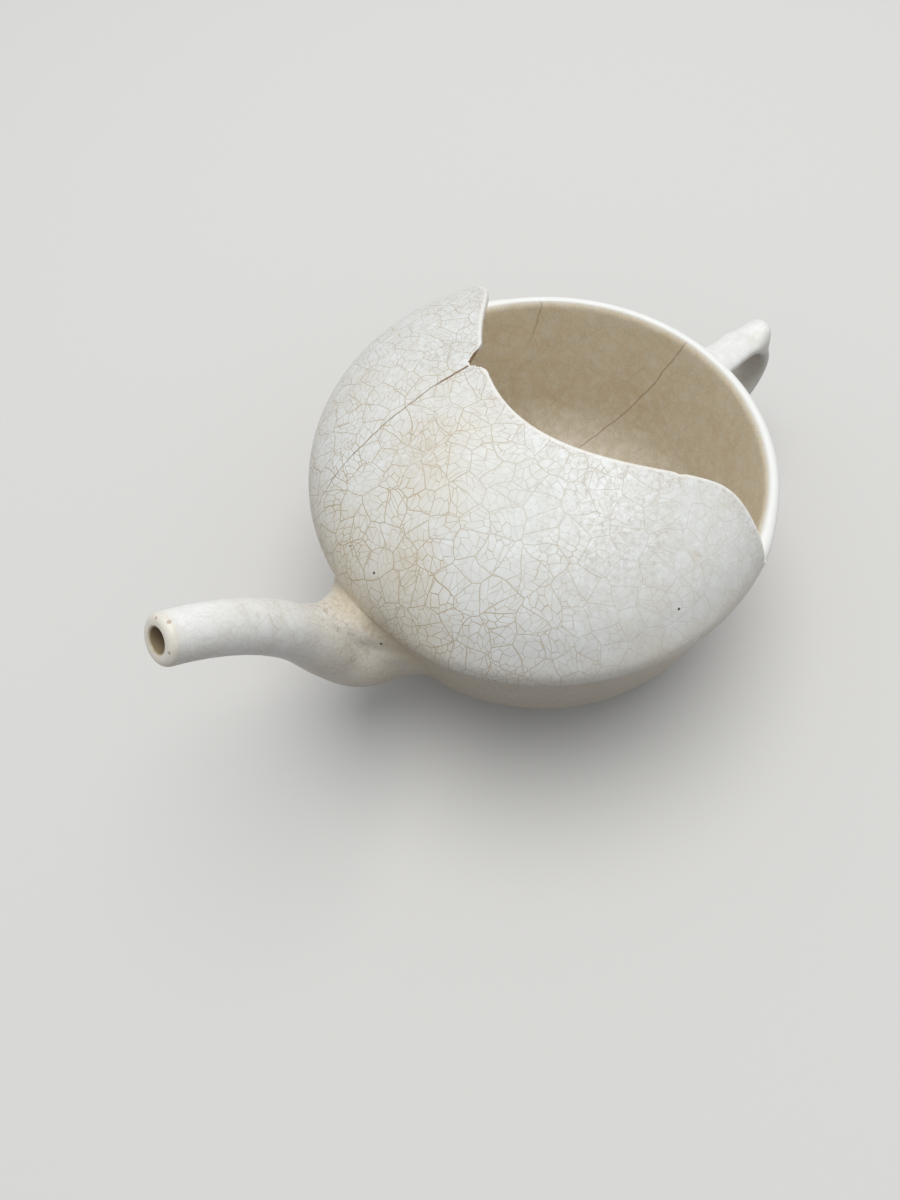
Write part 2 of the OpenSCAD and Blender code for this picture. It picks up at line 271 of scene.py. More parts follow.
def dome(plan):
    """Points and outward normals over plan points: z = h (1 - (r / R)^p)^(1 / p), rounded off over the last
    third of a millimetre to meet the slip at the girth, and normal = the gradient of the dome."""
    r = np.minimum(np.linalg.norm(plan, axis=-1, keepdims=True), girth_r)
    rise, at_girth = ((1 - (x / dome_r) ** dome_power) ** (1 / dome_power) for x in (r, girth_r))
    normal = np.concatenate([plan / r * (r / dome_r) ** (dome_power - 1) / dome_r,
                             rise ** (dome_power - 1) / dome_h], -1)
    normal /= np.linalg.norm(normal, axis=-1, keepdims=True)
    step = dome_z + dome_h * at_girth - cover_base
    z = dome_z + dome_h * rise - step * np.exp((r - girth_r) / girth_round)
    return np.concatenate([plan, z], -1), normal


def open_edge(s):
    """The edge in plan for s from -1 to 1: a parabola, x = edge_x - y^2 / edge_bow, that runs out softly into
    straight horns, which flare at the rim."""
    y = np.sqrt(girth_r ** 2 - horn_back ** 2) * np.sin(s * np.pi / 2)
    ahead = (edge_x + horn_back - y ** 2 / edge_bow) / edge_soft
    x = -horn_back + edge_soft * np.log1p(np.exp(ahead))
    r = np.hypot(x, y)
    height = dome(np.stack([x, y], -1))[0][..., 2] - cover_base
    x = x - horn_flare * np.exp(-height / flare_h)
    return np.stack([x, np.sign(y) * np.sqrt(np.maximum(r ** 2 - x ** 2, 0))], -1)


print("open edge runs from", open_edge(np.array([-1.0, 0.0, 1.0])).round(1).tolist())

# %% [markdown]
# A chip has been knocked out of the edge, a notch with one steep and one long side, and further along is a
# small nick. A Boolean with a rough lump could break them out. Here they are a depth along the edge, so the
# wall's section follows the break and the mesh stays one clean grid.

# %% Chip and nick
chip_y = [-19.3, -18.75, -18.3, -17.7, -17.1, -16.4, -16.0, -14.7, -13.1, -12.2]
chip_in = [0.0, 0.4, 2.2, 3.3, 3.75, 3.75, 3.4, 1.95, 0.3, 0.0]
nick_y, nick_w, nick_in = 28.4, 0.5, 0.45


def bite(y):
    """How far the break reaches in from the edge: a broken line for the chip, made ragged by two sines, and a
    bell for the nick."""
    chip = np.interp(y, chip_y, chip_in)
    ragged = 0.13 * np.sin(5.1 * y + 1) + 0.08 * np.sin(11.3 * y)
    return chip + ragged * smooth(0.5, 1.8, chip) + nick_in * np.exp(-((y - nick_y) / nick_w) ** 2)


print("chip", max(chip_in), "mm deep and", round(chip_y[-1] - chip_y[0], 1), "mm long")

# %% [markdown]
# The edge gets a point every so often, and far more of them at the chip and the nick. At each point the
# dome's normal and the edge's own direction give a third one, off the edge, which the rounding of the edge
# needs. The sheet of the cover is drawn from the rim to the edge in straight lines in plan.

# %% Cover's edge and sheet
even, at_chip, at_nick = np.linspace(-1, 1, 381), np.linspace(-0.272, -0.16, 125), np.linspace(0.38, 0.43, 49)
s = np.unique(np.concatenate([even, at_chip, at_nick]))
edge = open_edge(s)
edge_point, edge_normal = dome(edge)
along_edge = np.gradient(edge_point, s, axis=0)
along_edge /= np.linalg.norm(along_edge, axis=-1, keepdims=True)
off_edge = np.cross(along_edge, edge_normal)
off_edge *= -np.sign(off_edge[len(s) // 2, 0])
chipped = smooth(0.3, 0.9, bite(edge[:, 1]))
edge_round = (0.5 - 0.44 * chipped)[:, None]
horn_arc = np.arctan2(edge[-1, 1], edge[-1, 0]) * s
rim = girth_r * np.stack([np.cos(horn_arc), np.sin(horn_arc)], -1)
hem = (edge_point - edge_round * off_edge)[:, :2]
rows = 84
v = (1 - np.cos(np.linspace(0, np.pi, rows))) / 2
sheet = rim[:, None] * (1 - v[:, None]) + hem[:, None] * v[:, None]
from_hem = np.linalg.norm(sheet - hem[:, None], axis=-1)
print("sheet", sheet.shape[:2], "points")

# %% [markdown]
# The break slants through the wall, so the inner face is bitten a little to one side of the outer one. The
# wall thins towards the open edge, which is a flattened round, and is left sharp and crumbly in the chip.

# %% Wall of the cover
break_slant, edge_thinning, edge_power = -0.7, 1.2, 0.7


def bitten(depth):
    """The sheet's plan pushed in along +X by depth * exp(-way / length), with the way from the edge and a
    length of 1.8 depths and 0.4 mm."""
    push = depth[:, None] * np.exp(-from_hem / (1.8 * depth[:, None] + 0.4))
    return sheet + np.stack([push, 0 * push], -1)


outer = dome(bitten(bite(edge[:, 1])))[0]
inner, inner_normal = dome(bitten(bite(edge[:, 1] - break_slant)))
off_horns = smooth(-0.98, -0.8, -np.abs(s))[:, None]
inner = inner - (cover_t - edge_thinning * np.exp(-from_hem / 5) * off_horns)[..., None] * inner_normal
inner[..., 2] = np.maximum(inner[..., 2], cover_base)
phi = np.radians(np.linspace(0, 180, 15))[1:-1, None]
swell = np.sign(np.cos(phi)) * np.abs(np.cos(phi)) ** edge_power
bulge = np.sin(phi) ** edge_power
crumbs = 0.1 * np.sin(9 * edge[:, 1:, None] + 4 * phi) * chipped[:, None, None]
halfway, half_wall = (outer[:, -1:] + inner[:, -1:]) / 2, (outer[:, -1:] - inner[:, -1:]) / 2
lip_round = halfway + swell * half_wall + (edge_round[:, None] + crumbs) * bulge * off_edge[:, None]
section = np.concatenate([outer, lip_round, inner[:, ::-1]], 1)
print("section of", section.shape[1], "points at", section.shape[0], "places along the edge")

# %% [markdown]
# The marks tell the glaze what lies where: what has yellowed, how far it is to the open edge, where the body
# is bare, and the net on which the crazing lies. For the net the dome is drawn out flat from its crown.

# %% Cover's marks and mesh
reach = np.linspace(0.01, girth_r, 800)
crown = dome(np.stack([reach, 0 * reach], -1))[0][:, 2]
way = np.cumsum(np.hypot(np.gradient(reach), np.gradient(crown)))


def unrolled(points):
    """The plan of points drawn out from the crown, so that each lies as far from the middle as the dome runs
    to reach it."""
    r = np.linalg.norm(points[..., :2], axis=-1, keepdims=True)
    return points * [1, 1, 0] * np.interp(r, reach, way) / r * MM


from_edge = np.linalg.norm(outer - outer[:, -1:], axis=-1)
no_edge, lips = 0 * from_edge, np.ones(len(phi))
turned_in = smooth(4, 11, np.arange(len(phi)))
marks = {"yellowed": np.concatenate([np.zeros(rows), turned_in, np.ones(rows)]),
         "from_edge": np.concatenate([from_edge, no_edge[:, :1] * lips, from_edge[:, ::-1]], 1) * MM,
         "broken": np.concatenate([no_edge, chipped[:, None] * lips, no_edge], 1),
         "net": unrolled(section)}
section[:, :rows] = pressed(section[:, :rows])
cover_mesh = skin("half_cover", section, close_ends=True, marks=marks)
cover_mesh.set_sharp_from_angle(angle=np.radians(50))
half_cover = stand_in("half_cover", cover_mesh)

# %% [markdown]
# ## The spout
# The spout was pressed in a mould: a wide root that turns up through an elbow, tapers quickly, and runs on
# as a slim pipe that bends over towards the drinker. Its middle line is drawn by its slope: adding up small
# steps of (cos slope, sin slope) gives the points, so the bends join without corners. A moving average
# over slope and radius takes out the last kinks.

# %% Spout's middle line and radii
elbow_bend, neck_l, pipe_bend, tip_l = 14.0, 16.9, 56.5, 3.0
neck_slope, tip_slope = 63.3, 35.5
root_r, elbow_r, pipe_r, tip_r = 13.1, 7.7, 5.5, 4.7
elbow_bore_r, bore_r = 4.4, 2.3
fuller, fuller_at, fuller_over = 0.8, 11.0, 5.0
elbow_end = elbow_bend * np.radians(neck_slope)
neck_end = elbow_end + neck_l
pipe_end = neck_end + pipe_bend * np.radians(neck_slope - tip_slope)
spout_l = pipe_end + tip_l
t = np.linspace(0, spout_l, 400)
slope = np.interp(t, [0, elbow_end, neck_end, pipe_end], [0, neck_slope, neck_slope, tip_slope])
slope = np.convolve(np.pad(slope, 12, "edge"), np.ones(25) / 25, "valid")
steps = np.stack([np.cos(np.radians(slope)), np.sin(np.radians(slope))], -1) * (t[1] - t[0])
middle = np.array([girth_r - 5.6, spout_z]) + np.vstack([[0, 0], np.cumsum(steps[:-1], 0)])
necking, tapering = smooth(elbow_end, neck_end, t), np.clip((t - neck_end) / (pipe_end - neck_end), 0, 1)
outer_r = np.interp(t, [0, elbow_end], [root_r, elbow_r]) - (elbow_r - pipe_r) * necking
outer_r = outer_r - (pipe_r - tip_r) * tapering
outer_r = np.convolve(np.pad(outer_r, 16, "reflect", reflect_type="odd"), np.ones(33) / 33, "valid")
outer_r += fuller * np.exp(-((t - fuller_at) / fuller_over) ** 2)
inner_r = np.interp(t, [0, elbow_end], [passage_r, elbow_bore_r]) - (elbow_bore_r - bore_r) * necking
print("middle line", round(spout_l, 1), "mm, tip at", middle[-1].round(2))

# %% [markdown]
# Square to the middle line, the root's last ring would stick out of the bowl's curved wall. So the rings
# lean back towards the wall, at a rate that keeps neighbours from crossing on the inside of the elbow, and
# a ring that leans is drawn out by 1 / cos of its lean, which leaves the tube as round as before.

# %% Spout's leaning rings
wall_lean = np.degrees(np.arcsin(rim_sine + (rim_z - spout_z) / wall_bend))
lean_end = 18.0
share = np.cumsum(1 / outer_r)
share = np.clip((share - share[0]) / (np.interp(lean_end, t, share) - share[0]), 0, 1)
tilt = np.where(t < lean_end, -wall_lean + (np.interp(lean_end, t, slope) + wall_lean) * share, slope)


def rings(at, radius, turn):
    """Rings round the middle line: point + radius * (cos turn * across, sin turn * sideways), each along its
    tilt."""
    lines = middle[:, 0], middle[:, 1], tilt, tilt - slope
    x, z, lean, off = (np.interp(at, t, line)[:, None] for line in lines)
    up = radius[:, None] * np.cos(turn) / np.cos(np.radians(off))
    return np.stack([x - up * np.sin(np.radians(lean)), radius[:, None] * np.sin(turn),
                     z + up * np.cos(np.radians(lean))], -1)


print("root leans", round(wall_lean, 1), "degrees with the wall")

# %% [markdown]
# The skin runs from the root to the tip, over the rounded lip, and back down the bore, which makes one
# closed tube. Its marks are the way from the root and what lies inside the bore.

# %% Spout's tube
tube_turn = np.radians(np.linspace(0, 360, 97)[:-1])
tip_round, mouth_round = 1.5, 0.5
run = np.linspace(0.5, spout_l - tip_round, 200)
back = run[::-2]
quarter = np.radians(np.linspace(0, 90, 12))[1:]
inward = quarter[::-1]
outside_tube = rings(run, np.interp(run, t, outer_r), tube_turn)
tip_at = spout_l - tip_round * (1 - np.sin(quarter))
tip = rings(tip_at, tip_r - tip_round * (1 - np.cos(quarter)), tube_turn)
mouth_at = spout_l - mouth_round * (1 - np.sin(inward))
mouth = rings(mouth_at, bore_r + mouth_round * (1 - np.cos(inward)), tube_turn)
bore = rings(back, np.interp(back, t, inner_r), tube_turn)
tube = np.concatenate([outside_tube, tip, mouth, bore])
root_mark = np.concatenate([run, np.full(len(tip) + len(mouth), spout_l), back]) * MM
bore_mark = np.concatenate([np.zeros(len(run) + len(tip)), np.linspace(0, 1, len(mouth)), np.ones(len(back))])
marks = {"from_root": root_mark[:, None], "yellowed": bore_mark[:, None]}
spout = stand_in("spout", skin("spout", tube, loop_rows=True, marks=marks))

# %% [markdown]
# ## The handle
# The handle is a pulled strap: level from the wall, turned down at its upper corner with a pinch of clay
# left as a thumb rest, and brought back to the wall lower down. It could be a curve with a bevel profile,
# but the strap flares, so its rings are worked out along a path of two lines and two arcs.

# %% Handle's path
strap_z, strap_w, strap_t = rim_z - 8, 8.4, 3.6
handle_reach, upper_bend, lower_bend, lower_slope = 23.3, 10.0, 11.5, 10.0
thumb_out, thumb_at, thumb_over = 3.8, 131.0, 11.0
level_n, upper_n, lower_n, run_n = 25, 59, 46, 30
outer_x = -girth_r - handle_reach + strap_t / 2
upper = np.array([outer_x + upper_bend, strap_z - upper_bend])
lower = np.array([outer_x + lower_bend, strap_z - upper_bend])
last_face = 270 - lower_slope
bends = [np.linspace([-46.3, strap_z], [upper[0], strap_z], level_n + 1)[:-1],
         arc(upper, upper_bend, 90, 180, upper_n + 1)[:-1], arc(lower, lower_bend, 180, last_face, lower_n)]
fall = np.array([np.cos(np.radians(lower_slope)), -np.sin(np.radians(lower_slope))])
path = np.vstack([*bends, bends[-1][-1] + np.linspace(0.4, 24.0, run_n)[:, None] * fall])
face = np.concatenate([np.full(level_n, 90.0), np.linspace(90, 180, upper_n + 1)[:-1],
                       np.linspace(180, last_face, lower_n), np.full(run_n, last_face)])
thumb = thumb_out * np.exp(-((face - thumb_at) / thumb_over) ** 2)
flare = 1.2 - 0.2 * smooth(46.4, 66.1, -path[:, 0])
slant = np.interp(np.arange(len(path)), [len(path) - run_n, len(path) - 1], [0, 0.7])
print("strap's path of", len(path), "points reaches", round(-path[:, 0].min() + strap_t / 2, 1), "mm back")

# %% [markdown]
# The strap's section is an oval with flattened faces: cos and sin raised to a power below one, which fills
# the oval out.

# %% Handle's strap
strap_power, thumb_power = 0.8, 1.5


def strap(turn):
    """Rings round the path: half thickness along the face's direction, half width across it, and the thumb
    rest outside only. Towards the lower end the rings slant like the heel, so that the strap stops inside the
    wall."""
    c, q = np.cos(turn), np.sin(turn)
    out = flare[:, None] * strap_t / 2 * np.sign(c) * np.abs(c) ** strap_power
    out = out + thumb[:, None] * np.maximum(c, 0) ** thumb_power
    side = flare[:, None] * strap_w / 2 * np.sign(q) * np.abs(q) ** strap_power
    lean = np.stack([np.cos(np.radians(face)), np.sin(np.radians(face))], -1) + slant[:, None] * fall
    return np.stack([path[:, :1] + out * lean[:, :1], side + 0 * out, path[:, 1:] + out * lean[:, 1:]], -1)


strap_grid = strap(np.radians(np.linspace(0, 360, 73)[:-1]))
handle = stand_in("handle", skin("handle", strap_grid, close_ends=True))

# %% [markdown]
# ## The slip seams
# Slip is clay thinned to cream: it glues the pieces, and what squeezes out is wiped round into a hollow
# fillet. A seam like that could be a bevel on a Boolean. Here it is worked out: along each line of the spout
# or strap, the distance to the bowl's wall tells where the line leaves the wall.

# %% Distance to the wall
def wall_distance(points):
    """Distance of points from the bowl's outer wall, and the wall's outward normal there: from the middle of
    the wall's arc, or of the heel's arc below it."""
    r = np.linalg.norm(points[..., :2], axis=-1)
    low = points[..., 2] < rim_z - heel_drop
    centre = np.where(low[..., None], heel_centre, wall_centre)
    away = np.stack([r, points[..., 2]], -1) - centre
    length = np.linalg.norm(away, axis=-1)
    away /= length[..., None]
    normal = np.concatenate([points[..., :2] / r[..., None] * away[..., :1], away[..., 1:]], -1)
    return length - np.where(low, heel_bend, wall_bend), normal


def rise_to(lines, height):
    """The point of every line at which its distance to the wall last passes a height, found between two of
    its points by the share low / (low - high)."""
    gap = wall_distance(lines)[0] - height
    first = len(lines) - np.argmax(gap[::-1] < 0, 0)
    column = np.arange(lines.shape[1])
    low, high = gap[first - 1, column], gap[first, column]
    share = (low / (low - high))[:, None]
    return lines[first - 1, column] * (1 - share) + lines[first, column] * share


print("spout leaves the wall at", rise_to(outside_tube[:130], 0.0)[0].round(1), "mm")

# %% [markdown]
# A curve from a point higher up each line to a point further out on the wall gives the fillet's hollow face.
# The ring of curves is closed behind, inside the wall.

# %% Fillet of slip
seam_rows, line_pull, wall_pull, bury = 24, 0.45, 0.4, 0.8


def seam_grid(lines, climb, spread):
    """A ring of slip: a cubic curve, (1 - u)^3 top + 3 u (1 - u)^2 leave + 3 u^2 (1 - u) land + u^3 out. It
    leaves the line along its own direction at height climb and lands flat on the wall at distance spread. The
    ring is closed behind through the inside of the wall."""
    top, foot, below = rise_to(lines, climb), rise_to(lines, 0.0), rise_to(lines, climb - 0.3)
    wall_normal = wall_distance(foot)[1]
    aside = foot - foot.mean(0)
    aside -= (aside * wall_normal).sum(-1, keepdims=True) * wall_normal
    aside /= np.linalg.norm(aside, axis=-1, keepdims=True)
    out = foot + np.reshape(spread, (-1, 1)) * aside
    gap, out_normal = wall_distance(out)
    out = out - gap[:, None] * out_normal
    length = np.linalg.norm(foot - top, axis=-1, keepdims=True)
    down = (below - top) / np.linalg.norm(below - top, axis=-1, keepdims=True)
    leave = top + line_pull * length * down
    inward = foot - out
    inward -= (inward * out_normal).sum(-1, keepdims=True) * out_normal
    land = out + wall_pull * inward
    u = np.linspace(0, 1, seam_rows)[:, None, None]
    curve = (1 - u) ** 3 * top + 3 * u * (1 - u) ** 2 * leave + 3 * u ** 2 * (1 - u) * land + u ** 3 * out
    behind = [out - bury * out_normal, foot - bury * wall_normal - bury * aside, top - 0.9 * aside]
    return np.concatenate([curve, np.stack(behind)])


seam_mark = np.concatenate([np.linspace(0, 1, seam_rows), [1, 0, 0]])[:, None]
top_side = np.maximum(np.cos(tube_turn), 0)
half = len(strap_grid) // 2
seams = {"spout_slip_joint": seam_grid(outside_tube[:130], 3.4 + 4.4 * top_side, 3.2 + 1.1 * top_side),
         "handle_upper_slip_joint": seam_grid(strap_grid[:half], 1.8, 1.5),
         "handle_lower_slip_joint": seam_grid(strap_grid[:half:-1], 1.8, 1.5)}
for name, seam in seams.items():
    seam_mesh = skin(name, seam, loop_rows=True, marks={"crease": seam_mark})
    seam_mesh.set_sharp_from_angle(angle=np.radians(50))
    stand_in(name, seam_mesh)

# %% [markdown]
# Under the cover the slip is only a thin layer between two rims, flush with both, so it is a flat band
# bent round the girth from horn to horn.

# %% Band of slip under the cover
band_r = np.array([girth_r, girth_r, girth_r - cover_t, girth_r - cover_t])
band_z = rim_z + slip_t * np.array([0, 1, 1, 0])
bend = np.radians(np.linspace(-horn_turn, horn_turn, 181))[:, None]
band_grid = np.stack([band_r * np.cos(bend), band_r * np.sin(bend), band_z + 0 * bend], -1)
marks = {"from_edge": girth_r * MM, "net": unrolled(band_grid), "yellowed": [0, 0, 1, 1]}
band_grid[:, :2] = pressed(band_grid[:, :2])
band_mesh = skin("cover_slip_joint", band_grid, close_ends=True, marks=marks)
band_mesh.set_sharp_from_angle(angle=np.radians(40))
stand_in("cover_slip_joint", band_mesh)

# %% [markdown]
# ## Colours and nodes
# Colours are written as sRGB hex values, the way that a colour picker shows them, and one function turns
# them to the linear values that the shader needs. One more function adds a node: it takes the settings, and
# for each input either a plain value or the node or socket that feeds it.

# %% Colour and node helpers
def linear(colour):
    """sRGB hex to linear RGBA: v / 12.92 near black, and ((v + 0.055) / 1.055) ^ 2.4 above."""
    v = np.array([int(colour[i:i + 2], 16) for i in (1, 3, 5)]) / 255
    return (*np.where(v <= 0.04045, v / 12.92, ((v + 0.055) / 1.055) ** 2.4).tolist(), 1.0)


def add(tree, kind, feeds=None, **settings):
    """Adds one node with its settings, and feeds its inputs, by name or number, with links or values."""
    node = tree.nodes.new("ShaderNode" + kind)
    for key, value in settings.items():
        setattr(node, key, value)
    for key, value in (feeds or {}).items():
        named = (i for i in node.inputs if i.enabled and i.name == key)
        socket = node.inputs[key] if isinstance(key, int) else next(named)
        if isinstance(value, bpy.types.Node):
            value = next(o for o in value.outputs if o.enabled)
        if isinstance(value, bpy.types.NodeSocket):
            tree.links.new(value, socket)
        else:
            socket.default_value = value
    return node


print("mid grey #808080 is", round(linear("#808080")[0], 3), "of white in linear light")

# %% [markdown]
# ## Crazing
# A glaze that shrinks more than its clay tears into a net of hair-fine cracks, and tea and dust stain them
# tan. Old crazing comes in generations: long first cracks, and later ones that stop where they meet a first
# one. A cell pattern has such a net as the distance to its edges. Two of them are used: inside each cell of
# the first, the second is turned, moved and drawn out at random, so that its lines end at the first cracks.
# On the bowl and the cover the cells are flat ones, laid over the unrolled surface. Cells in space would
# meet a surface at any angle, and where they meet it at a low one a crack comes out as a broad smear.

# %% Crazing net
# Cells of the first and the second net and half the width of a crack, in mm. A real crack is a few
# hundredths of a millimetre wide, and is drawn wider here so that it shows.
cover_net, bowl_net, fine_net = (5.0, 1.9, 0.14), (5.0, 1.9, 0.125), (3.4, 1.4, 0.1)


def craze(tree, place, sheet, first_mm, second_mm, line_mm):
    """0 to 1 where a crack runs: the distance to the edges of two nets of cells, turned into soft lines of a
    width. The cells are flat ones on an unrolled sheet, or cells in space where there is none."""
    ground, sides = (sheet, "2D") if sheet else (place, "3D")
    wander = add(tree, "TexNoise", {"Vector": place, "Scale": 0.5 / (first_mm * MM), "Detail": 1.5})
    push = add(tree, "VectorMath", {0: wander.outputs["Color"], 1: (0.5, 0.5, 0.5)}, operation="SUBTRACT")
    path = add(tree, "VectorMath", {0: push, 1: (0.95 * first_mm * MM,) * 3, 2: ground},
               operation="MULTIPLY_ADD")
    cell = add(tree, "TexVoronoi", {"Vector": path, "Scale": 1 / (first_mm * MM)}, voronoi_dimensions=sides)
    chance = add(tree, "SeparateColor", {"Color": cell.outputs["Color"]})
    angle = add(tree, "Math", {0: chance.outputs["Red"], 1: 6.28}, operation="MULTIPLY")
    turned = add(tree, "VectorRotate", {"Vector": path, "Axis": (0.0, 0.0, 1.0), "Angle": angle})
    drawn = add(tree, "VectorMath", {0: turned, 1: (0.75, 1.45, 0.9)}, operation="MULTIPLY")
    moved = add(tree, "VectorMath", {0: cell.outputs["Color"], 1: (0.2, 0.2, 0.2), 2: drawn},
                operation="MULTIPLY_ADD")
    lines = []
    for way, size, width in ((path, first_mm, line_mm), (moved, second_mm, 0.85 * line_mm)):
        net = add(tree, "TexVoronoi", {"Vector": way, "Scale": 1 / (size * MM)}, feature="DISTANCE_TO_EDGE",
                  voronoi_dimensions=sides)
        lines.append(add(tree, "MapRange", {"Value": net, "From Min": 0.0, "From Max": width / size,
                                            "To Min": 1.0, "To Max": 0.0}, interpolation_type="SMOOTHSTEP"))
    worn = add(tree, "TexNoise", {"Vector": place, "Scale": 1 / (6 * MM), "Detail": 2.0})
    faded = add(tree, "MapRange", {"Value": worn, "From Min": 0.38, "From Max": 0.6, "To Min": 0.4,
                                   "To Max": 0.9})
    second = add(tree, "Math", {0: lines[1], 1: faded}, operation="MULTIPLY")
    first = add(tree, "Math", {0: lines[0], 1: 0.85}, operation="MULTIPLY")
    return add(tree, "Math", {0: first, 1: second}, operation="MAXIMUM")


print("cracks on the cover are drawn", 2 * cover_net[2], "mm wide, in cells of", cover_net[0], "mm")

# %% [markdown]
# ## Marks of use
# A hairline crack is a line that bends a little, so one coordinate of it is a polynomial of another, and
# noise shakes it. Iron specks in the clay are dots of a given place. Both are masks, from 0 to 1, and take a
# colour later.

# %% Hairline cracks and specks
def hairline(tree, place, across, along, bow, shake_mm, width_mm, windows):
    """1 on a crack: where across = c0 + c1 u + c2 u^2, with u along it in mm, inside windows in mm, each
    given as (coordinate, from, to)."""
    axes = add(tree, "SeparateXYZ", {"Vector": place}).outputs
    shake = add(tree, "TexNoise", {"Vector": place, "Scale": 1 / (4 * shake_mm * MM), "Detail": 3.0})
    line = add(tree, "Math", {0: axes[along], 1: bow[2] / MM, 2: bow[1]}, operation="MULTIPLY_ADD")
    line = add(tree, "Math", {0: line, 1: axes[along], 2: (bow[0] - 0.5 * shake_mm) * MM},
               operation="MULTIPLY_ADD")
    line = add(tree, "Math", {0: shake, 1: shake_mm * MM, 2: line}, operation="MULTIPLY_ADD")
    off = add(tree, "Math", {0: axes[across], 1: line}, operation="SUBTRACT")
    off = add(tree, "Math", {0: off}, operation="ABSOLUTE")
    mask = add(tree, "MapRange", {"Value": off, "From Min": 0.0, "From Max": width_mm * MM, "To Min": 1.0,
                                  "To Max": 0.0}, interpolation_type="SMOOTHSTEP")
    for axis, low, high in windows:
        window = add(tree, "MapRange", {"Value": axes[axis], "From Min": low * MM, "From Max": high * MM})
        mask = add(tree, "Math", {0: mask, 1: window}, operation="MULTIPLY")
    return mask


def spots(tree, place, places_mm, core):
    """1 inside round spots (x, y, z, radius in mm): the smallest distance in radii, falling to 0 between the
    core and 1."""
    near = 1.0
    for x, y, z, radius in places_mm:
        centre = (x * MM, y * MM, z * MM)
        far = add(tree, "VectorMath", {0: place, 1: centre}, operation="DISTANCE").outputs["Value"]
        far = add(tree, "Math", {0: far, 1: radius * MM}, operation="DIVIDE")
        near = add(tree, "Math", {0: far, 1: near}, operation="MINIMUM")
    return add(tree, "MapRange", {"Value": near, "From Min": core, "From Max": 1.0, "To Min": 1.0,
                                  "To Max": 0.0}, interpolation_type="SMOOTHSTEP")


print("masks to draw with: hairline cracks and round spots")

# %% [markdown]
# ## The aged cream
# The glaze is a clear lead glaze over a pale body, fired once and satin with age. To the eye it is a cool
# cream with whiter clouds where it lies thick, tea-coloured patches where damp crept under it, a tan tone
# of dirt round the spout's joint, a tan painted shade low on the cup, round and below the girth, and a
# yellowed inside. All this could be painted as a picture. Noise of the size of each of them, in millimetres,
# mixes one tone into the next without one, and holds at any distance.

# %% Aged cream
cloud_mm, damp_mm = 2.4, 24.0


def aged_cream(tree, place, height, to_joint, inside, tones, soil_and_shade):
    """Colour from the two tones, dirt at the joint, painted shade below the girth, the yellowed inside and
    clouds.
    """
    cloudy = add(tree, "TexNoise", {"Vector": place, "Scale": 1 / (cloud_mm * MM), "Detail": 3.0,
                                    "Roughness": 0.6})
    thick = add(tree, "MapRange", {"Value": cloudy, "From Min": 0.44, "From Max": 0.66, "To Max": 0.8})
    colour = add(tree, "Mix", {"Factor": thick, "A": linear(tones[0]), "B": linear(tones[1])},
                 data_type="RGBA")
    damp = add(tree, "TexNoise", {"Vector": place, "Scale": 1 / (damp_mm * MM), "Detail": 4.0,
                                  "Roughness": 0.62})
    patch = add(tree, "MapRange", {"Value": damp, "From Min": 0.46, "From Max": 0.72, "To Max": 0.65})
    colour = add(tree, "Mix", {"Factor": patch, "A": colour, "B": linear("#d3ccbb")}, data_type="RGBA")
    if soil_and_shade:
        tan = add(tree, "MapRange", {"Value": to_joint, "From Min": 34 * MM, "From Max": 13 * MM,
                                     "To Max": 0.42 * soil_and_shade}, interpolation_type="SMOOTHSTEP")
        colour = add(tree, "Mix", {"Factor": tan, "A": colour, "B": linear("#c6b797")}, data_type="RGBA")
        # Painted shade: a tan tone that darkens the glaze from 50 mm down, at full strength below 36 mm,
        # under the girth.
        low = add(tree, "MapRange", {"Value": height, "From Min": 50 * MM, "From Max": 36 * MM,
                                     "To Max": 0.7 * soil_and_shade})
        colour = add(tree, "Mix", {"Factor": low, "A": colour, "B": linear("#cdc0a4")}, data_type="RGBA")
    up = add(tree, "MapRange", {"Value": height, "From Min": 8 * MM, "From Max": 36 * MM})
    old = add(tree, "Mix", {"Factor": up, "A": linear("#dcd2bf"), "B": linear("#ecdfc5")}, data_type="RGBA")
    old = add(tree, "Mix", {"Factor": patch, "A": old, "B": linear("#d8c6a2")}, data_type="RGBA")
    chalky = add(tree, "Math", {0: thick, 1: 0.75}, operation="MULTIPLY")
    old = add(tree, "Mix", {"Factor": chalky, "A": old, "B": linear("#f0e9da")}, data_type="RGBA")
    return add(tree, "Mix", {"Factor": inside, "A": colour, "B": old}, data_type="RGBA"), cloudy


print("clouds of", cloud_mm, "mm and damp patches of", damp_mm, "mm")

# %% [markdown]
# ## Stained cracks
# The cracks have taken up most dirt near the spout's joint, less on the side where the cup was wiped, and
# inside they are fainter and yellower. So the strength of the net is worked out from the place, and only
# then does it mix the stain into the cream.

# %% Stained cracks
def stained(tree, colour, crack, axes, to_joint, inside, strength):
    """The colour with the crazing in it: stain where crack * strength, with the strength falling to 0.4 of
    itself across the wiped side, rising near the joint, and 0.45 of itself inside."""
    aside = add(tree, "Math", {0: axes["X"], 1: -0.6, 2: axes["Y"]}, operation="MULTIPLY_ADD")
    held = add(tree, "MapRange", {"Value": aside, "From Min": 12 * MM, "From Max": 36 * MM,
                                  "To Min": strength, "To Max": 0.4 * strength})
    near = add(tree, "MapRange", {"Value": to_joint, "From Min": 50 * MM, "From Max": 20 * MM, "To Min": 0.85,
                                  "To Max": 1.25})
    held = add(tree, "Math", {0: held, 1: near}, operation="MULTIPLY")
    held = add(tree, "MapRange", {"Value": inside, "To Min": held, "To Max": 0.45 * strength})
    shown = add(tree, "Math", {0: crack, 1: held}, operation="MULTIPLY")
    stain = add(tree, "Mix", {"Factor": inside, "A": linear("#a8946f"), "B": linear("#9c8760")},
                data_type="RGBA")
    return add(tree, "Mix", {"Factor": shown, "A": colour, "B": stain}, data_type="RGBA")


print("stain of the cracks", [round(c, 2) for c in linear("#a8946f")[:3]])

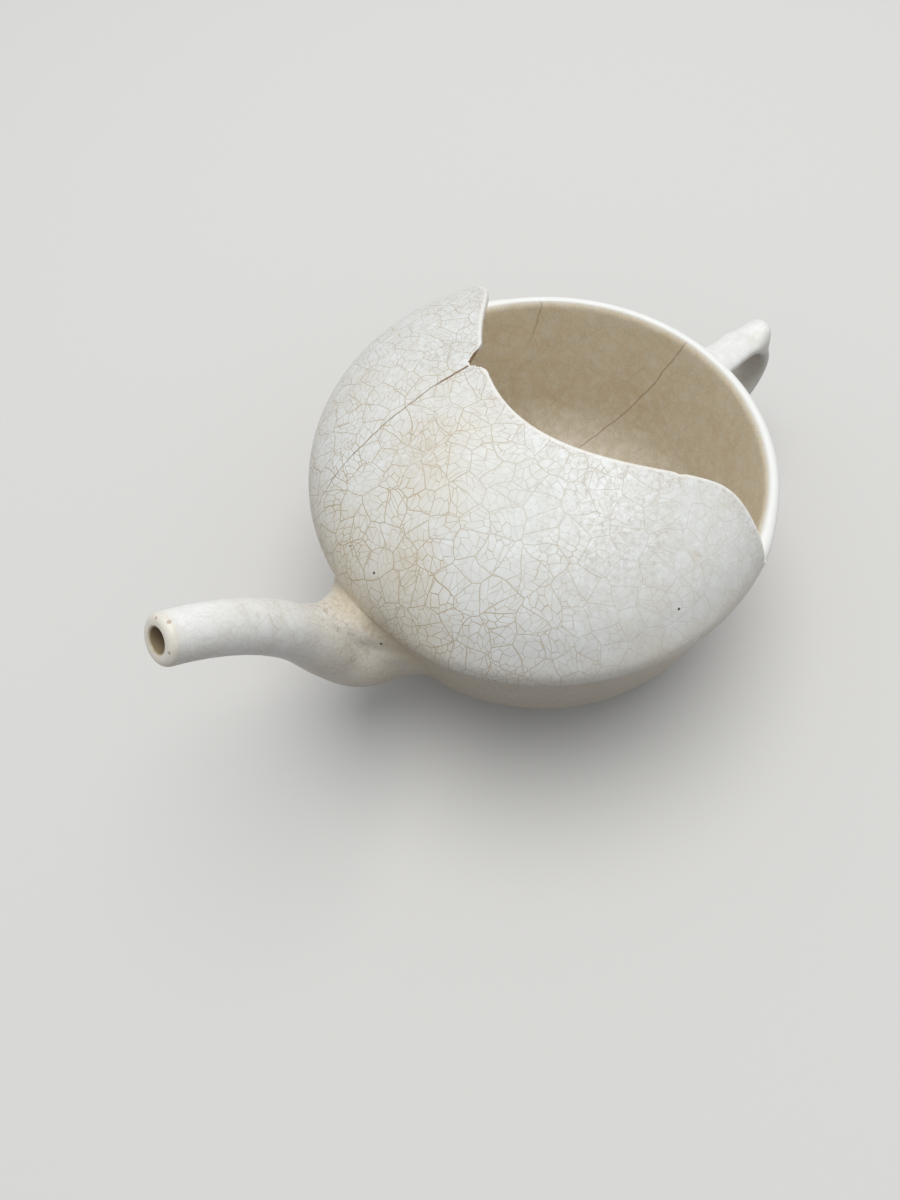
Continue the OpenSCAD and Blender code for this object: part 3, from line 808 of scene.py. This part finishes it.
# %% [markdown]
# ## The glaze
# One function makes the finish for every piece. A piece hands in what is its own: layers of a mask and a
# colour, and a mask of what is dull. The gloss is a satin one, a little shinier where the glaze lies thick,
# and a slight bump lets the surface waver and sinks the cracks.

# %% Crazed lead glaze
joint_place, wave_mm, bump_mm = (50 * MM, 0.0, 33 * MM), 9.0, 0.08


def glaze(name, tones, soil_and_shade, cells, strength, own=None, flat=False):
    """A glazed earthenware finish: aged cream, stained cracks and a piece's own layers in turn, under a satin
    gloss. Flat cells follow the mark named net."""
    material = bpy.data.materials.new(name)
    material.use_nodes = True
    tree = material.node_tree
    tree.nodes.clear()
    place = add(tree, "TexCoord").outputs["Object"]
    axes = add(tree, "SeparateXYZ", {"Vector": place}).outputs
    inside = add(tree, "Attribute", attribute_name="yellowed").outputs["Fac"]
    to_joint = add(tree, "VectorMath", {0: place, 1: joint_place}, operation="DISTANCE").outputs["Value"]
    sheet = add(tree, "Attribute", attribute_name="net").outputs["Vector"] if flat else None
    colour, cloudy = aged_cream(tree, place, axes["Z"], to_joint, inside, tones, soil_and_shade)
    crack = craze(tree, place, sheet, *cells)
    colour = stained(tree, colour, crack, axes, to_joint, inside, strength)
    gloss = add(tree, "MapRange", {"Value": cloudy, "From Min": 0.3, "From Max": 0.7, "To Min": 0.38,
                                   "To Max": 0.28})
    layers, dull = own(tree, place, axes) if own else ([], None)
    for mask, tone in layers:
        colour = add(tree, "Mix", {"Factor": mask, "A": colour, "B": linear(tone)}, data_type="RGBA")
    if dull:
        gloss = add(tree, "Math", {0: dull, 1: 0.5, 2: gloss}, operation="MULTIPLY_ADD")
    wave = add(tree, "TexNoise", {"Vector": place, "Scale": 1 / (wave_mm * MM), "Detail": 2.0})
    height = add(tree, "Math", {0: crack, 1: -0.2, 2: wave}, operation="MULTIPLY_ADD")
    bump = add(tree, "Bump", {"Height": height, "Distance": bump_mm * MM, "Strength": 1.0})
    shader = add(tree, "BsdfPrincipled", {"Base Color": colour, "Roughness": gloss, "Normal": bump,
                                          "IOR": 1.5})
    add(tree, "OutputMaterial", {"Surface": shader})
    print(name, len(tree.nodes), "nodes")
    return material


print("glaze wavers over", wave_mm, "mm by", bump_mm, "mm")

# %% [markdown]
# ## The cover's glaze
# The open edge is paler along its outer side, partly worn and partly a painted highlight, and handling has
# dulled the crown and left grey smudges and brown patches on it. They could be painted on by hand. Here they
# are soft spots, each with its place and radius, broken up by a fine grain, so that each can be moved or left
# out by itself.

# %% Smudges of the cover
def cover_smudges(tree, place, from_edge):
    """Layers of handling: the dulled crown, grey smudges, brown patches and the dirt along the open edge."""
    grain = add(tree, "TexNoise", {"Vector": place, "Scale": 1 / (1.1 * MM), "Detail": 4.0, "Roughness": 0.7})
    dulled = spots(tree, place, [(20, 14, 63, 20)], 0.1)
    dulled = add(tree, "Math", {0: dulled, 1: 0.4}, operation="MULTIPLY")
    greasy = spots(tree, place, [(10, 27, 62, 23), (7, -24, 62.5, 9)], 0.2)
    smudge = add(tree, "MapRange", {"Value": grain, "From Min": 0.45, "From Max": 0.7, "To Max": 0.6})
    smudge = add(tree, "Math", {0: smudge, 1: greasy}, operation="MULTIPLY")
    brown = spots(tree, place, [(25, -7.5, 62.5, 12), (40, 8, 55, 9), (-0.7, 41.7, 55.9, 3)], 0.1)
    mottled = add(tree, "MapRange", {"Value": grain, "From Min": 0.36, "From Max": 0.64, "To Max": 0.5})
    brown = add(tree, "Math", {0: brown, 1: mottled}, operation="MULTIPLY")
    dirt = add(tree, "MapRange", {"Value": from_edge, "From Min": 5 * MM, "From Max": 0.5 * MM,
                                  "To Max": 0.65})
    crumbly = add(tree, "MapRange", {"Value": grain, "From Min": 0.5, "From Max": 0.72})
    dirt = add(tree, "Math", {0: dirt, 1: crumbly}, operation="MULTIPLY")
    return [(dulled, "#c6c9c5"), (smudge, "#aea99c"), (brown, "#bfae92"), (dirt, "#a1927b")]


print("smudges are broken up by a grain of 1.1 mm")

# %% [markdown]
# A crack runs from the chip across the dome: it is open and brown near the chip and closes to a hair further
# on. The break itself shows the bare brown body. Fine dust specks are scattered by a cell pattern, and three
# iron specks have their own places.

# %% Glaze of the cover
def cover_marks(tree, place, axes):
    """Smudges, a paler edge that is worn and a painted highlight, dust, crack, iron specks and the bare
    break.
    """
    from_edge = add(tree, "Attribute", attribute_name="from_edge").outputs["Fac"]
    broken = add(tree, "Attribute", attribute_name="broken").outputs["Fac"]
    inside = add(tree, "Attribute", attribute_name="yellowed").outputs["Fac"]
    # Wear and a painted highlight: the outer side paler within 0.6 mm of the open edge.
    worn = add(tree, "MapRange", {"Value": from_edge, "From Min": 0.6 * MM, "From Max": 0.1 * MM,
                                  "To Max": 0.7})
    outer_side = add(tree, "Math", {0: 1.0, 1: inside}, operation="SUBTRACT")
    worn = add(tree, "Math", {0: worn, 1: outer_side}, operation="MULTIPLY")
    bow = (-15.59, -0.134, 0.00149)
    tight = hairline(tree, place, "Y", "X", bow, 1.0, 0.2, [("X", 5.6, 6.0), ("X", 45.5, 40), ("Z", 43, 48)])
    gaping = hairline(tree, place, "Y", "X", bow, 1.0, 0.4, [("X", 5.6, 5.9), ("X", 14.5, 11.5)])
    speck = add(tree, "TexVoronoi", {"Vector": place, "Scale": 1 / (5.5 * MM)})
    few = add(tree, "SeparateColor", {"Color": speck.outputs["Color"]}).outputs["Green"]
    few = add(tree, "MapRange", {"Value": few, "From Min": 0.5, "From Max": 0.9, "To Max": 0.7})
    dust = add(tree, "MapRange", {"Value": speck.outputs["Distance"], "From Min": 0.02, "From Max": 0.035,
                                  "To Min": 1.0, "To Max": 0.0})
    dust = add(tree, "Math", {0: dust, 1: few}, operation="MULTIPLY")
    specks = [(45.57, 3.09, 52.64, 0.32), (7.56, 45.61, 52.05, 0.32), (45.49, -4.87, 52.57, 0.22)]
    iron = spots(tree, place, specks, 0.6)
    return cover_smudges(tree, place, from_edge) + [
        (worn, "#eeebe3"), (dust, "#85785f"), (tight, "#8a7962"), (gaping, "#7a583a"), (iron, "#2e261d"),
        (broken, "#b0967b")], broken


aged = ("#dad9d4", "#e3e5e3")
cover_glaze = glaze("lead_glazed_earthenware_cover", aged, 1.0, cover_net, 0.98, cover_marks, flat=True)
half_cover.data.materials.append(cover_glaze)
bpy.data.objects["cover_slip_joint_glazed"].data.materials.append(cover_glaze)

# %% [markdown]
# ## The bowl's glaze
# The lip is thick with glaze and nearly free of crazing. Two old cracks run down the inside from it, brown
# from what they have soaked up. They could be cut into the mesh, but they are closed and as thin as a hair,
# so they are drawn as lines in the colour.

# %% Glaze of the bowl
def bowl_marks(tree, place, axes):
    """The pale lip and the two cracks inside."""
    inside = add(tree, "Attribute", attribute_name="yellowed").outputs["Fac"]
    lip = add(tree, "MapRange", {"Value": axes["Z"], "From Min": (rim_z - 0.1) * MM,
                                 "From Max": (rim_z + 0.8) * MM, "To Max": 0.95})
    outer_side = add(tree, "Math", {0: 1.0, 1: inside}, operation="SUBTRACT")
    lip = add(tree, "Math", {0: lip, 1: outer_side}, operation="MULTIPLY")
    below_lip = ("Z", 44.6, 44.2)
    long_crack = hairline(tree, place, "Y", "Z", (-20.2, 0.501, -0.0026), 2.2, 0.33,
                          [("X", -20, -28), ("Z", 5, 8), below_lip])
    short_crack = hairline(tree, place, "X", "Z", (-5.26, -0.85, 0.006), 2.0, 0.34,
                           [("Y", -25, -30), ("Z", 30, 40), below_lip])
    layers = [(lip, "#f1f1ed")]
    for crack, depth, tone in ((long_crack, 0.52, "#8d5c30"), (short_crack, 0.364, "#8a5c30")):
        soaked = add(tree, "Math", {0: crack, 1: depth}, operation="MULTIPLY")
        layers.append((add(tree, "Math", {0: soaked, 1: inside}, operation="MULTIPLY"), tone))
    return layers, None


bowl.data.materials.clear()
bowl_glaze = glaze("lead_glazed_earthenware_bowl", aged, 1.0, bowl_net, 0.7, bowl_marks, flat=True)
bowl.data.materials.append(bowl_glaze)

# %% [markdown]
# ## The glaze of the spout, handle and seams
# The spout is whiter and finely crazed. Brown dust has settled on its root, and the tip has a few rust
# specks where the glaze is thin. On the seams a tan tone, part dirt and part painted shade, sits in the
# hollow and on the bowl's side of it. The dust on spout and seam is one layer, so one helper makes it for
# both.

# %% Glaze of the spout, handle and seams
def settled_dust(tree, place, height):
    """Grains of dust from 0 to 0.45, on what lies above the spout's middle."""
    grain = add(tree, "TexNoise", {"Vector": place, "Scale": 1 / (0.9 * MM), "Detail": 4.0, "Roughness": 0.7})
    dust = add(tree, "MapRange", {"Value": grain, "From Min": 0.46, "From Max": 0.68})
    above = add(tree, "MapRange", {"Value": height, "From Min": 31 * MM, "From Max": 39 * MM, "To Max": 0.45})
    return add(tree, "Math", {0: dust, 1: above}, operation="MULTIPLY")


def spout_marks(tree, place, axes):
    """Dust on the root, rust at the tip and a dark bore."""
    from_root = add(tree, "Attribute", attribute_name="from_root").outputs["Fac"]
    inside = add(tree, "Attribute", attribute_name="yellowed").outputs["Fac"]
    rooted = add(tree, "MapRange", {"Value": from_root, "From Min": 28 * MM, "From Max": 18 * MM})
    dust = add(tree, "Math", {0: settled_dust(tree, place, axes["Z"]), 1: rooted}, operation="MULTIPLY")
    end = add(tree, "MapRange", {"Value": from_root, "From Min": (spout_l - 3) * MM, "From Max": spout_l * MM,
                                 "To Max": 0.5})
    specks = [(82.5, -1.84, 73.56, 0.36), (81.24, 0.49, 74.01, 0.5), (84.1, 3.68, 71.44, 0.4)]
    rust = spots(tree, place, specks, 0.5)
    rust = add(tree, "Math", {0: rust, 1: 0.55}, operation="MULTIPLY")
    return [(end, "#dbd1bd"), (dust, "#a08a6c"), (rust, "#8d5f3c"), (inside, "#95856a")], None


def seam_marks(tree, place, axes):
    """Dirt and painted shade in the hollow of a seam, dust on its upper side and one iron speck."""
    crease = add(tree, "Attribute", attribute_name="crease").outputs["Fac"]
    # Dirt and painted shade: a tan tone in the seam's hollow, strongest towards the wall.
    hollow = add(tree, "MapRange", {"Value": crease, "From Min": 0.2, "From Max": 0.85, "To Max": 0.6},
                 interpolation_type="SMOOTHSTEP")
    dust = settled_dust(tree, place, axes["Z"])
    iron = spots(tree, place, [(50.53, 8.6, 36.95, 0.36)], 0.6)
    return [(hollow, "#b9a782"), (dust, "#a08a6c"), (iron, "#2e261d")], None


bright, clean = ("#f0efeb", "#f7f8f6"), ("#e5e4df", "#eeefed")
spout.data.materials.append(glaze("lead_glazed_earthenware_spout", bright, 0.5, fine_net, 0.26, spout_marks))
handle.data.materials.append(glaze("lead_glazed_earthenware_handle", clean, 0.0, fine_net, 0.2))
seam_glaze = glaze("glazed_slip_seam", bright, 0.5, fine_net, 0.26, seam_marks)
for name in seams:
    bpy.data.objects[name + "_glazed"].data.materials.append(seam_glaze)

# %% [markdown]
# ## Floor
# The floor is plain paper, and pale to the camera and in reflections. To other rays it is a dark brown, so
# it throws little light back up at the cup, and the edge at the girth stays clear. It could be dark to every
# ray, but a pale ground shows the outline better.

# %% Floor
floor_mesh = bpy.data.meshes.new("floor")
floor_mesh.from_pydata([(-3, -3, 0), (3, -3, 0), (3, 3, 0), (-3, 3, 0)], [], [(0, 1, 2, 3)])
floor = bpy.data.objects.new("floor", floor_mesh)
bpy.context.scene.collection.objects.link(floor)
paper = bpy.data.materials.new("pale_paper_floor")
paper.use_nodes = True
tree = paper.node_tree
tree.nodes.clear()
ray = add(tree, "LightPath").outputs
seen = add(tree, "Math", {0: ray["Is Camera Ray"], 1: ray["Is Glossy Ray"]}, operation="MAXIMUM")
seen = add(tree, "Math", {0: seen, 1: ray["Is Transmission Ray"]}, operation="MAXIMUM")
tone = add(tree, "Mix", {"Factor": seen, "A": linear("#463329"), "B": linear("#d6d4d0")}, data_type="RGBA")
matt = add(tree, "BsdfPrincipled", {"Base Color": tone, "Roughness": 0.9})
add(tree, "OutputMaterial", {"Surface": matt})
floor.data.materials.append(paper)
print("floor of", floor.dimensions.x, "m")

# %% [markdown]
# ## Light
# One broad round lamp overhead and an even surrounding light stand for a studio's soft boxes. A picture of a
# sky could light the cup too, but plain light shows colours about as they are written.

# %% Light
world = bpy.data.worlds.new("studio")
bpy.context.scene.world = world
world.use_nodes = True
world.node_tree.nodes["Background"].inputs["Color"].default_value = linear("#eef2f6")
world.node_tree.nodes["Background"].inputs["Strength"].default_value = 0.58
lamp = bpy.data.lights.new("soft_box", "AREA")
lamp.shape, lamp.size, lamp.energy = "DISK", 0.9, 7.0
box = bpy.data.objects.new("soft_box", lamp)
box.location = (-0.12, -0.1, 1.0)
box.rotation_euler = box.location.to_track_quat("Z", "Y").to_euler()
bpy.context.scene.collection.objects.link(box)
bpy.context.scene.view_settings.view_transform = "Standard"
print("lamp of", lamp.energy, "W,", lamp.size, "m across")

# %% [markdown]
# ## Camera
# The camera looks steeply down from the spout's side, as the photograph does, and is turned a little about
# its own line of sight. Its place, direction and turn were found by laying the girth, the rim and the
# spout over the photograph.

# %% Camera
focal_px, photo_h_px, sensor_mm, roll = 908, 1200, 36, np.radians(7.28)
eye = np.array([81.57, 85.05, 200.9]) * MM
ahead = np.array([-0.2566, -0.4028, -0.8786])
ahead /= np.linalg.norm(ahead)
level = np.array([-0.8434, 0.5373, 0.0])
right = np.cos(roll) * level + np.sin(roll) * np.cross(ahead, level)
up = np.cross(right, ahead)
camera = bpy.data.objects.new("camera", bpy.data.cameras.new("camera"))
camera.data.lens = focal_px / photo_h_px * sensor_mm
camera.data.sensor_width = sensor_mm
camera.data.clip_start = 0.01
turned = Matrix(np.stack([right, up, -ahead], 1).tolist()).to_4x4()
camera.matrix_world = Matrix.Translation(eye.tolist()) @ turned
bpy.context.scene.collection.objects.link(camera)
bpy.context.scene.camera = camera
print("camera at", (eye / MM).round(1), "mm, lens", round(camera.data.lens, 1), "mm")
